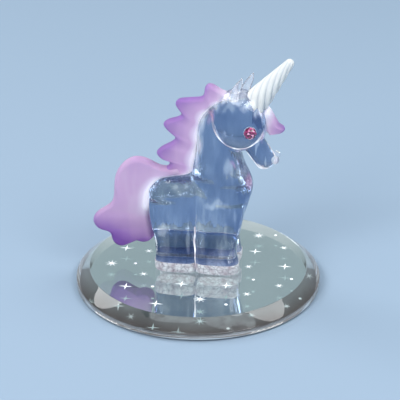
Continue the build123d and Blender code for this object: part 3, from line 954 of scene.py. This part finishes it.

# %% [markdown]
# ## Clear glass
#
# The body is solid crystal. It looks blue, with pale pools of painted light where the pressed sides
# would catch a lamp, and is milky where the locks and the horn were joined on, partly with a painted
# glow. Its tint is a ramp: deep blue in the drawn streaks, nearly colourless in the pools. Each pool is
# a soft ellipsoid mask at a given place on the right side, and the left side shows it through the glass.
# The flow's relief bends the view through it.

# %% Places of the pools
# Each row is the middle and the half sizes of a pool, in millimetres, and its strength.
# Painted light: each pale pool makes the tint paler and the glass glow a little, as if a lamp lit it.
painted_light_pools = [
    (-6.0, -7.5, 34.2, 5.6, 4.0, 2.3, 0.7), (-9.2, -8.0, 20.6, 2.2, 3.0, 3.0, 1.0),
    (-12.5, -8.0, 26.5, 1.2, 3.0, 4.0, 0.5), (-2.3, -8.0, 17.0, 0.9, 3.0, 7.5, 0.75),
    (9.6, -8.0, 20.0, 1.7, 3.0, 7.0, 0.7), (12.0, -7.0, 26.0, 1.2, 3.0, 4.0, 0.6),
    (7.0, -8.0, 29.8, 6.0, 3.0, 2.0, 0.7), (0.4, -4.0, 46.0, 2.5, 6.0, 8.5, 1.0),
    (1.2, -2.0, 54.5, 2.2, 5.0, 5.5, 0.85), (5.5, -1.5, 60.3, 4.0, 4.5, 2.2, 0.85),
    (11.5, -1.0, 62.8, 5.0, 5.0, 2.0, 0.9), (17.5, -2.0, 59.5, 3.2, 4.0, 2.2, 0.8),
    (8.5, -6.0, 51.0, 6.0, 4.0, 5.0, 0.4), (20.0, -2.0, 44.5, 4.0, 4.0, 4.5, 0.36),
    (18.4, -3.0, 47.4, 0.7, 3.0, 2.6, 0.8), (21.4, -2.0, 43.4, 0.6, 3.0, 2.4, 0.8),
    (19.4, -3.0, 41.6, 2.4, 3.0, 0.7, 0.7), (10.4, -6.0, 41.5, 1.7, 5.0, 5.0, 0.8),
    (9.5, -6.0, 60.0, 3.0, 4.0, 1.8, 0.7), (14.0, -3.5, 39.0, 2.2, 5.0, 4.0, 0.7),
]
# The milky pools whiten the glass where the locks and the horn were joined on, partly as its own milky colour
# and partly as a painted glow.
milky_glow_pools = [
    (0.3, -2.0, 47.5, 1.0, 6.0, 7.0, 0.7), (1.6, -2.0, 55.5, 1.4, 5.0, 3.5, 0.8),
    (4.6, -2.0, 59.8, 3.0, 4.5, 1.6, 0.6), (10.5, -3.0, 62.1, 5.0, 5.0, 1.5, 1.0),
    (15.8, -3.5, 60.6, 2.6, 4.0, 1.5, 1.0), (18.5, -3.5, 58.6, 2.0, 3.5, 1.5, 0.8),
]
# Painted reflections: at these places the glass is painted pink and glows a little, as rosy glints of the
# lilac mane and tail.
painted_rosy_glints = [
    (15.3, -3.0, 35.2, 1.5, 3.0, 2.4, 0.9), (12.2, -4.5, 42.8, 1.5, 3.0, 1.5, 0.7),
    (4.2, -5.0, 56.5, 1.2, 3.0, 1.6, 0.7), (20.4, -4.0, 50.4, 1.3, 3.0, 1.8, 0.8),
]
print("Pools:", len(painted_light_pools), "pale,", len(milky_glow_pools), "milky,", len(painted_rosy_glints), "rosy")

# %% Clear glass
# A mask is 0 outside the rim of its ellipsoid, told as a share of the half sizes, and full at its heart.
POOL_RIM, POOL_HEART = 1.45, 0.25
glass = finish(
    "clear_glass", Transmission_Weight=1, Roughness=0.06, IOR=1.5, Coat_IOR=2.2, Emission_Strength=1,
)
place = glass.place()
stream = glass.use(flow, Size=165.0, Upright=0.28)
# The streaks push the places about, so that the pools get drawn, uneven edges.
shifted = glass.vector("ADD", place, glass.swing(stream["Wave"], 7 * MM))


def pooled(value, rows):
    """The largest of a value and the masks of some pools."""
    for x, y, z, *half, strength in rows:
        offset = glass.vector("SUBTRACT", shifted, Vector((x, y, z)) * MM)
        scaled = glass.vector("MULTIPLY", offset, Vector([1 / (h * MM) for h in half]))
        distance = glass.add("ShaderNodeVectorMath", {0: scaled}, operation="LENGTH").outputs["Value"]
        mask = glass.fade(distance, POOL_RIM, POOL_HEART, strength, interpolation_type="SMOOTHSTEP")
        value = glass.math("MAXIMUM", value, mask)
    return value


# The legs are thinner than the barrel, so they get a paler tint.
thinner = glass.fade(glass.part(place, "Z"), 25.0 * MM, 11.0 * MM, 0.16)
drawn_out = glass.math("ADD", glass.math("MULTIPLY", stream["Streak"], 0.5), thinner)
# Fine striae from the drawing lie over everything.
striae = glass.swing(glass.use(flow, Size=620.0, Upright=0.2)["Streak"], 0.14, 0.4)
milky = pooled(0.0, milky_glow_pools)
rosy = pooled(0.0, painted_rosy_glints)
pale = glass.math("ADD", glass.math("MAXIMUM", pooled(drawn_out, painted_light_pools), milky), striae)
# Painted light: where the pools lie, the tint ramp turns nearly colourless.
tint = glass.ramp(
    pale, (0.0, 0.17, 0.25, 0.44), (0.4, 0.34, 0.43, 0.61), (0.75, 0.72, 0.78, 0.87), (1.0, 0.97, 0.98, 0.99),
)
# Painted light: the palest places glow a little.
painted_pool_glow = glass.ramp(pale, (0.0, 0, 0, 0), (0.5, 0.005, 0.006, 0.007), (1.0, 0.17, 0.18, 0.18))
# Painted reflection: the rosy glints glow pink.
glint = glass.ramp(rosy, (0.0, 0, 0, 0), (1.0, 0.16, 0.06, 0.11))
# Painted light: the milky joins glow a little, over their milky colour.
frost = glass.ramp(milky, (0.0, 0, 0, 0), (0.5, 0.1, 0.1, 0.11), (1.0, 0.24, 0.24, 0.25))
# The outline of a hot-worked gather is glossier than its pressed faces, so it shows a pale rim.
rim = glass.add("ShaderNodeLayerWeight", {"Blend": 0.3}).outputs["Facing"]
# All of the emission below is painted light, and the pink over the tint is a painted reflection.
glass.feed(
    Base_Color=glass.mix(rosy, tint, (0.95, 0.62, 0.82, 1)),
    Coat_Weight=glass.math("POWER", rim, 2.5),
    Emission_Color=glass.vector("ADD", glass.vector("ADD", painted_pool_glow, glint), frost),
)
glass.bump(stream["Wave"], 0.8 * MM)
glass.dress(clear_body)

# %% [markdown]
# ## Thin clear glass
#
# The beads, ears and seams are thin, so they show hardly any tint. What is seen of them is their
# outline, which a clear coat of high index makes bright, and a faint painted glow in their streaks. The
# seams are threads of half a millimetre, and a painted glow of their own lets them read as fine bright lines.

# %% Thin clear glass
thin = finish(
    "thin_clear_glass", Transmission_Weight=0.9, Roughness=0.04, IOR=1.5, Coat_IOR=2.4, Emission_Strength=1,
)
stream = thin.use(flow, Size=420.0, Upright=0.5)
rim = thin.add("ShaderNodeLayerWeight", {"Blend": 0.4}).outputs["Facing"]
# Painted light: the beads and ears glow faintly in their streaks.
thin.feed(
    Base_Color=thin.ramp(stream["Streak"], (0.0, 0.86, 0.89, 0.95), (1.0, 1.0, 0.99, 1.0)),
    Emission_Color=thin.ramp(stream["Streak"], (0.3, 0.01, 0.01, 0.012), (0.9, 0.12, 0.115, 0.12)),
    Coat_Weight=thin.math("POWER", rim, 1.5),
)
thin.bump(stream["Wave"], 0.12 * MM)
thin.dress(*thin_pieces)

threads = finish("seam_glass", Transmission_Weight=0.4, Roughness=0.08, IOR=1.5, Emission_Strength=1)
streak = threads.use(flow, Size=300.0, Upright=1.0)["Streak"]
# Painted light: the seams glow, most strongly in their streaks.
painted_glow = threads.ramp(streak, (0.1, 0.04, 0.03, 0.04), (0.6, 0.2, 0.19, 0.2), (1.0, 0.45, 0.45, 0.45))
threads.feed(
    Base_Color=threads.ramp(streak, (0.0, 0.93, 0.82, 0.9), (0.5, 0.96, 0.95, 0.97), (1.0, 0.9, 0.93, 0.97)),
    Emission_Color=painted_glow,
)
threads.dress(fine_seams)

# %% [markdown]
# ## Frosted glass
#
# The locks are lilac glass, etched to a soft, even frost. At the weld they were drawn out of clear
# glass, so they start nearly white there, and a painted glow lightens the weld further; the colour
# gathers at the tips and lobes. Light goes some way in, which softens the shading. The horn is white,
# with painted light and shade: a warm, lighter tone on the ridges and a cool grey in the valleys.

# %% Frosted lilac and white glass
TOOTH_DEPTH = 0.02 * MM
lilac = finish(
    "frosted_lilac", Transmission_Weight=0.42, Roughness=0.62, IOR=1.4, Specular_IOR_Level=0.3,
    Emission_Strength=1,
)
frost = lilac.use(grain, Tooth=5200.0, Cloud=95.0)
comb = lilac.swing(lilac.use(flow, Size=210.0, Upright=0.25)["Streak"], 0.1)
depth = lilac.math("ADD", lilac.math("ADD", lilac.mark("tint"), lilac.swing(frost["Cloud"], 0.16)), comb)
joined = lilac.mark("weld")
tinted = lilac.ramp(
    depth, (0.0, 0.84, 0.68, 0.84), (0.2, 0.75, 0.51, 0.74), (0.45, 0.6, 0.37, 0.66), (0.7, 0.42, 0.22, 0.58),
    (1.0, 0.28, 0.12, 0.48),
)
# The weld is whiter glass, and its emission is a painted glow.
lilac.feed(
    Base_Color=lilac.mix(joined, tinted, (0.84, 0.82, 0.88, 1)),
    Emission_Color=lilac.ramp(joined, (0.0, 0, 0, 0), (0.5, 0.08, 0.08, 0.09), (1.0, 0.42, 0.43, 0.46)),
)
lilac.bump(frost["Tooth"], TOOTH_DEPTH)
lilac.dress(mane, tail, forelock)

white = finish("frosted_white", Transmission_Weight=0.25, Roughness=0.5, IOR=1.45)
frost = white.use(grain, Tooth=5200.0, Cloud=160.0)
# Painted shade: the valleys between the flutes are grey, and the ridges lighter and warm.
white.feed(Base_Color=white.ramp(
    white.math("ADD", white.mark("ridge"), white.swing(frost["Cloud"], 0.22)),
    (0.0, 0.7, 0.72, 0.75), (0.4, 0.82, 0.83, 0.83), (0.75, 0.93, 0.92, 0.89), (1.0, 0.98, 0.96, 0.91),
))
white.bump(frost["Tooth"], TOOTH_DEPTH)
white.dress(horn)

# %% [markdown]
# ## Mirror base
#
# The blank is nearly colourless glass. Its flat is polished, but its bevel was ground, so it keeps fine
# marks, and a faint painted glow makes it look smoky. The flat gets a faint painted glow on its outer
# side, which makes mirror images paler than the things themselves. The silver lies behind it as a plain
# metal.

# %% Blank and silver
clear = finish("blank_glass", Transmission_Weight=1, IOR=1.5, Emission_Strength=1)
polish = clear.use(grain, Tooth=2500.0, Cloud=60.0)
ground_off = clear.mark("bevel")
marks = clear.math("MULTIPLY", ground_off, polish["Tooth"])
# Painted light: the ground bevel glows faintly, which makes it look smoky.
painted_bevel_glow = clear.ramp(
    clear.math("MULTIPLY", ground_off, polish["Cloud"]),
    (0.0, 0, 0, 0), (0.02, 0.05, 0.046, 0.047), (1.0, 0.105, 0.099, 0.1),
)
flat = clear.math("SUBTRACT", 1.0, ground_off)
# Painted light: the front of the flat glows faintly, which makes mirror images paler.
front_of_flat = clear.math("SUBTRACT", flat, clear.geometry("Backfacing"))
painted_haze_glow = clear.ramp(
    clear.math("MULTIPLY", front_of_flat, clear.math("ADD", 0.9, polish["Cloud"])),
    (0.0, 0, 0, 0), (0.9, 0.075, 0.1, 0.108), (1.0, 0.08, 0.106, 0.114),
)
clear.feed(
    Base_Color=clear.ramp(polish["Cloud"], (0.0, 0.9, 0.94, 0.93), (1.0, 0.94, 0.97, 0.96)),
    Roughness=clear.math("MULTIPLY", marks, 0.06),
    Emission_Color=clear.vector("ADD", painted_bevel_glow, painted_haze_glow),
)
clear.dress(blank)

silver = finish("silver", Metallic=1)
polish = silver.use(grain, Tooth=1500.0, Cloud=70.0)
silver.feed(
    Base_Color=silver.ramp(polish["Cloud"], (0.0, 0.66, 0.68, 0.68), (1.0, 0.7, 0.72, 0.72)),
    Roughness=silver.math("MULTIPLY", polish["Tooth"], 0.035),
)
silver.dress(cad["silvering"])

# %% [markdown]
# ## Print, paint and felt
#
# The stars are a matt white enamel. Their upper faces are white, and their lower faces, seen as images
# in the silver, are painted in shade, so the tone follows the direction in which a face looks, and a
# painted glow lightens every face, the upper ones most. Behind the silver lie a grey paint and a dark
# felt, both hidden in use.

# %% Print, paint and felt
enamel = finish("star_enamel", Roughness=0.45, Emission_Strength=1)
coat = enamel.use(grain, Tooth=3500.0, Cloud=700.0)
upward = enamel.part(enamel.geometry("Normal"), "Z")
# Painted light and shade: faces that look up are white and glow more, faces that look down are darker.
tone = enamel.math("SUBTRACT", upward, enamel.math("MULTIPLY", coat["Cloud"], 0.12))
painted_glow = enamel.ramp(tone, (0.0, 0.17, 0.21, 0.22), (0.5, 0.24, 0.28, 0.29), (0.9, 0.45, 0.48, 0.49))
enamel.feed(
    Base_Color=enamel.ramp(tone, (0.0, 0.3, 0.38, 0.39), (0.5, 0.6, 0.66, 0.67), (0.9, 0.95, 0.96, 0.97)),
    Emission_Color=painted_glow,
)
enamel.bump(coat["Tooth"], 0.01 * MM)
enamel.dress(*(cad[f"{count}_point_stars"] for count in ("four", "six", "eight")), cad["printed_dots"])

paint = finish("backing_paint", Roughness=0.6)
coat = paint.use(grain, Tooth=1800.0, Cloud=90.0)
paint.feed(Base_Color=paint.ramp(coat["Cloud"], (0.0, 0.15, 0.15, 0.16), (1.0, 0.23, 0.23, 0.24)))
paint.bump(coat["Tooth"], 0.04 * MM)
paint.dress(cad["backing_paint"])

felt = finish("felt", Roughness=0.95, Sheen_Weight=0.4, Sheen_Roughness=0.5)
nap = felt.use(grain, Tooth=2600.0, Cloud=420.0)
fibre = felt.math("ADD", felt.math("MULTIPLY", nap["Cloud"], 0.6), felt.math("MULTIPLY", nap["Tooth"], 0.5))
felt.feed(Base_Color=felt.ramp(fibre, (0.2, 0.012, 0.012, 0.015), (0.8, 0.05, 0.05, 0.06)))
felt.bump(fibre, 0.25 * MM)
felt.dress(cad["felt_pad"])

# %% [markdown]
# ## Cement
#
# The cement in the hoof cups is milky with a rosy tone, and has bubbles and hair cracks. A crack lies
# where two cells of a Voronoi texture meet. The inner wall of a cup is painted in shade, and the
# underside and the inner wall get a painted glow. The cement of the stones is a pale blue, close to the
# glass, with a faint painted glow.

# %% Cement
cement = finish(
    "hoof_cement", Transmission_Weight=0.2, Roughness=0.3, IOR=1.45, Coat_Weight=0.6, Emission_Strength=1,
)
clouds = cement.use(grain, Tooth=2200.0, Cloud=520.0)
bubbles = cement.use(specks, Size=1100.0, Reach=0.32)["Speck"]
cells = cement.add(
    "ShaderNodeTexVoronoi", {"Vector": cement.place(), "Scale": 620.0}, feature="DISTANCE_TO_EDGE",
).outputs["Distance"]
crack = cement.fade(cells, 0.07, 0.02)
flaw = cement.math("MULTIPLY", cement.math("MAXIMUM", crack, bubbles), clouds["Tooth"])
milky = cement.ramp(
    clouds["Cloud"], (0.0, 0.5, 0.42, 0.46), (0.35, 0.68, 0.63, 0.66), (0.7, 0.82, 0.81, 0.83),
    (1.0, 0.95, 0.95, 0.96),
)
inner = cement.mark("inner")
# Painted shade: the inner wall is darkened to navy.
shaded = cement.mix(inner, cement.mix(flaw, milky, (0.12, 0.1, 0.14, 1)), (0.1, 0.18, 0.42, 1))
# Painted light: the underside lies on the silvered glass and gets a painted glow, a little bluer, for the
# light that would come back from it.
painted_underside_light = cement.fade(cement.part(cement.geometry("Normal"), "Z"), -0.3, -0.9, 0.42)
red = cement.math("ADD", painted_underside_light, 0.08)
green = cement.math("MULTIPLY", red, 1.08)
blue = cement.math("MULTIPLY", red, 1.12)
light = cement.add("ShaderNodeCombineXYZ", {"X": red, "Y": green, "Z": blue}).outputs[0]
# Painted light: the inner wall gets a blue painted glow, as if lit through the glass, except close to the
# brim.
wall = cement.ramp(
    inner, (0.0, 0, 0, 0), (0.3, 0.06, 0.09, 0.16), (0.5, 0.05, 0.08, 0.15), (0.8, 0.0, 0.01, 0.03),
)
cement.feed(
    Base_Color=shaded, Emission_Color=cement.vector("ADD", cement.vector("MULTIPLY", shaded, light), wall),
)
cement.bump(cement.math("SUBTRACT", clouds["Cloud"], flaw), 0.12 * MM)
cement.dress(hoof_cups)

eye_cement = finish("eye_cement", Roughness=0.4, IOR=1.5, Emission_Strength=1)
speck = eye_cement.use(specks, Size=2600.0, Reach=0.2)["Speck"]
# Painted light: the eye cement glows faintly pale blue.
eye_cement.feed(
    Base_Color=eye_cement.ramp(speck, (0.0, 0.5, 0.6, 0.76), (1.0, 0.66, 0.74, 0.86)),
    Emission_Color=eye_cement.ramp(speck, (0.0, 0.1, 0.14, 0.2), (1.0, 0.13, 0.17, 0.23)),
)
eye_cement.dress(*(cad[f"{side}_eye_cement"] for side in BOTH))

# %% [markdown]
# ## Stones
#
# The foil is a thin silvery lacquer with a blue cast. The stones are pink crystal. A real foiled stone
# flashes facet by facet, so each facet gets a painted brightness of its own, and a clear coat adds sharp
# glints.

# %% Foil and crystal
foil = finish("stone_foil", Metallic=1)
lacquer = foil.use(grain, Tooth=3000.0, Cloud=900.0)
foil.feed(
    Base_Color=foil.ramp(lacquer["Cloud"], (0.0, 0.78, 0.82, 0.88), (1.0, 0.88, 0.9, 0.94)),
    Roughness=foil.math("ADD", foil.math("MULTIPLY", lacquer["Tooth"], 0.2), 0.25),
)
foil.dress(*(cad[f"{side}_eye_foil"] for side in BOTH))

pink = finish("pink_crystal", Roughness=0.12, Coat_Weight=1, Coat_Roughness=0.0)
cloud = pink.use(grain, Tooth=3000.0, Cloud=1100.0)["Cloud"]
pink.feed(Base_Color=pink.ramp(
    pink.math("ADD", pink.mark("painted_sparkle"), pink.swing(cloud, 0.25)),
    (0.0, 0.03, 0.0, 0.015), (0.4, 0.15, 0.003, 0.05), (0.75, 0.5, 0.04, 0.2), (1.0, 1.0, 0.5, 0.72),
))
pink.dress(*stones)

# %% [markdown]
# ## Floor, light and camera
#
# The figurine stands on a plain pale blue floor. A large soft key lamp is high on the left, and a
# smaller fill lamp on the right. Two rim lamps behind outline the glass, and two small lamps in front
# give it sharp glints. The world is a ramp from the floor's tone up to a pale sky, so that the horizon
# stays soft in the glass.

# %% Floor and world
FLOOR_HALF = 1.0
floor_mesh = bpy.data.meshes.new("floor")
corners = [(x * FLOOR_HALF, y * FLOOR_HALF, 0) for x, y in ((-1, -1), (1, -1), (1, 1), (-1, 1))]
floor_mesh.from_pydata(corners, [], [(0, 1, 2, 3)])
floor = new_object("floor", floor_mesh)
finish("floor_paint", Base_Color=(0.31, 0.4, 0.51, 1), Roughness=0.9, Specular_IOR_Level=0.1).dress(floor)

world = bpy.data.worlds.new("studio")
bpy.context.scene.world = world
world.use_nodes = True
studio = Nodes(world)
up_share = studio.part(studio.add("ShaderNodeTexCoord").outputs["Generated"], "Z")
background = studio.tree.nodes["Background"]
background.inputs["Strength"].default_value = 1.0
sky = studio.ramp(
    up_share, (0.0, 0.38, 0.49, 0.63), (0.25, 0.37, 0.47, 0.58), (0.42, 0.3, 0.38, 0.42),
    (0.6, 0.33, 0.42, 0.45), (0.8, 0.6, 0.65, 0.68), (1.0, 0.8, 0.84, 0.86),
)
studio.join(sky, background.inputs["Color"])

# %% Lamps
# Each row is a lamp's place, its width in metres and its power in watts.
LAMPS = {
    "key": ((-0.42, -0.66, 0.5), 0.55, 4.6),
    "fill": ((0.5, -0.34, 0.56), 0.35, 1.7),
    "left_rim": ((-0.62, 0.3, 0.62), 0.42, 2.6),
    "right_rim": ((0.46, 0.2, 0.72), 0.4, 2.0),
    "left_glint": ((-0.34, -0.52, 0.6), 0.09, 0.35),
    "right_glint": ((0.3, -0.5, 0.66), 0.09, 0.35),
}
LAMP_AIM = Vector((0, 0, 0.035))
for name, (place, width, power) in LAMPS.items():
    data = bpy.data.lights.new(name, "AREA")
    data.shape = "DISK"
    data.size = width
    data.energy = power
    lamp = new_object(name, data)
    lamp.location = place
    lamp.rotation_euler = (LAMP_AIM - Vector(place)).to_track_quat("-Z", "Y").to_euler()
# The mirror and its glass would show the key lamp as one white sheet, so only matt surfaces see it.
bpy.data.objects["key"].visible_glossy = False
bpy.data.objects["key"].visible_transmission = False
print("Lamps:", list(LAMPS))

# %% Camera
# The place and lens of the camera were fitted to the ellipse of the mirror in the photograph.
CAMERA_DISTANCE = 0.430
CAMERA_TURN, CAMERA_RISE = math.radians(8.0), math.radians(25.5)
FOCAL_PIXELS = 1371.7
IMAGE_SIZE = 400
BASE_MIDDLE_PIXEL = (198.2, 262.4)
SENSOR = 36.0
back = np.array([
    math.sin(CAMERA_TURN) * math.cos(CAMERA_RISE),
    -math.cos(CAMERA_TURN) * math.cos(CAMERA_RISE),
    math.sin(CAMERA_RISE),
])
right = np.array([math.cos(CAMERA_TURN), math.sin(CAMERA_TURN), 0])
up = np.cross(back, right)
# The aim is the middle of the base, moved to the pixel where the photograph has it.
off_right, off_down = (np.array(BASE_MIDDLE_PIXEL) - IMAGE_SIZE / 2) * CAMERA_DISTANCE / FOCAL_PIXELS
camera_data = bpy.data.cameras.new("camera")
camera_data.sensor_width = SENSOR
camera_data.lens = FOCAL_PIXELS * SENSOR / IMAGE_SIZE
camera_data.clip_start = 0.01
camera_data.clip_end = 20
camera = new_object("camera", camera_data)
camera.location = np.array([0, 0, base_top]) + back * CAMERA_DISTANCE - right * off_right + up * off_down
camera.rotation_mode = "QUATERNION"
camera.rotation_quaternion = Matrix(np.column_stack([right, up, back])).to_quaternion()
bpy.context.scene.camera = camera
bpy.context.scene.view_settings.view_transform = "Standard"
print("Camera:", [round(v, 3) for v in camera.location], "lens", round(camera_data.lens, 1))
